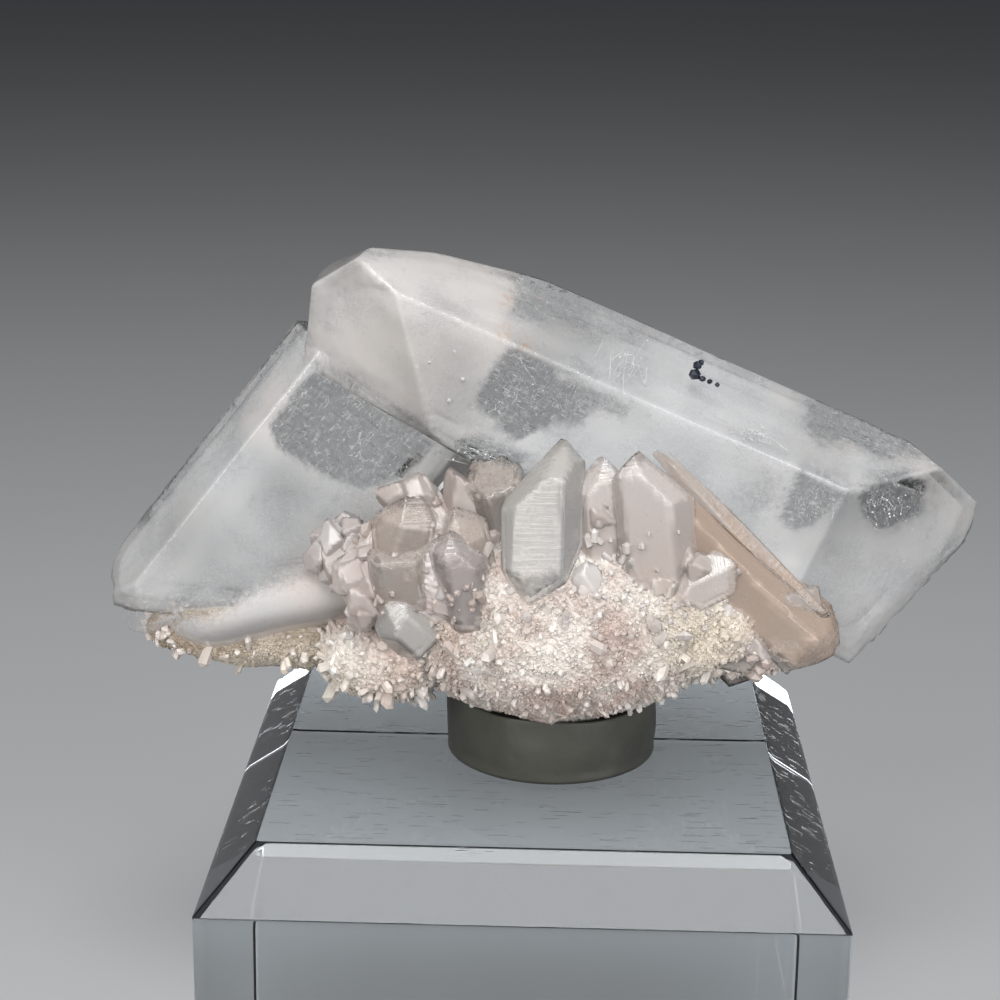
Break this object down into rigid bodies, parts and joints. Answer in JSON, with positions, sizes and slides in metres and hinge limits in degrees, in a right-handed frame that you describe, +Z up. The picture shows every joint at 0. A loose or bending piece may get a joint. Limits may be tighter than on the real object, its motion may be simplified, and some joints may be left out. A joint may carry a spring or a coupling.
{
  "type": "quartz crystal cluster on display block",
  "caption": "Milky and clear quartz prisms intergrown over a sugary crystal crust, held by putty on a square clear block with a bevelled top.",
  "frame": {"origin": "centre of the display block's underside, which is what the part stands on", "axes": "+Z up; +X to the viewer's right along the main crystal's lean; +Y away from the viewer, square to the block's sides"},
  "size_m": [0.0747, 0.0508, 0.0753],
  "materials": {
    "quartz": "clear to milky natural quartz, glassy on the crystal faces and sugary on the crust",
    "putty": "matt grey-green mineral putty",
    "acrylic": "clear polished acrylic with fine scratches on its top"
  },
  "bodies": {
    "root": {"quartz_cluster": "quartz", "mineral_putty": "putty", "display_block": "acrylic"}
  },
  "joints": []
}
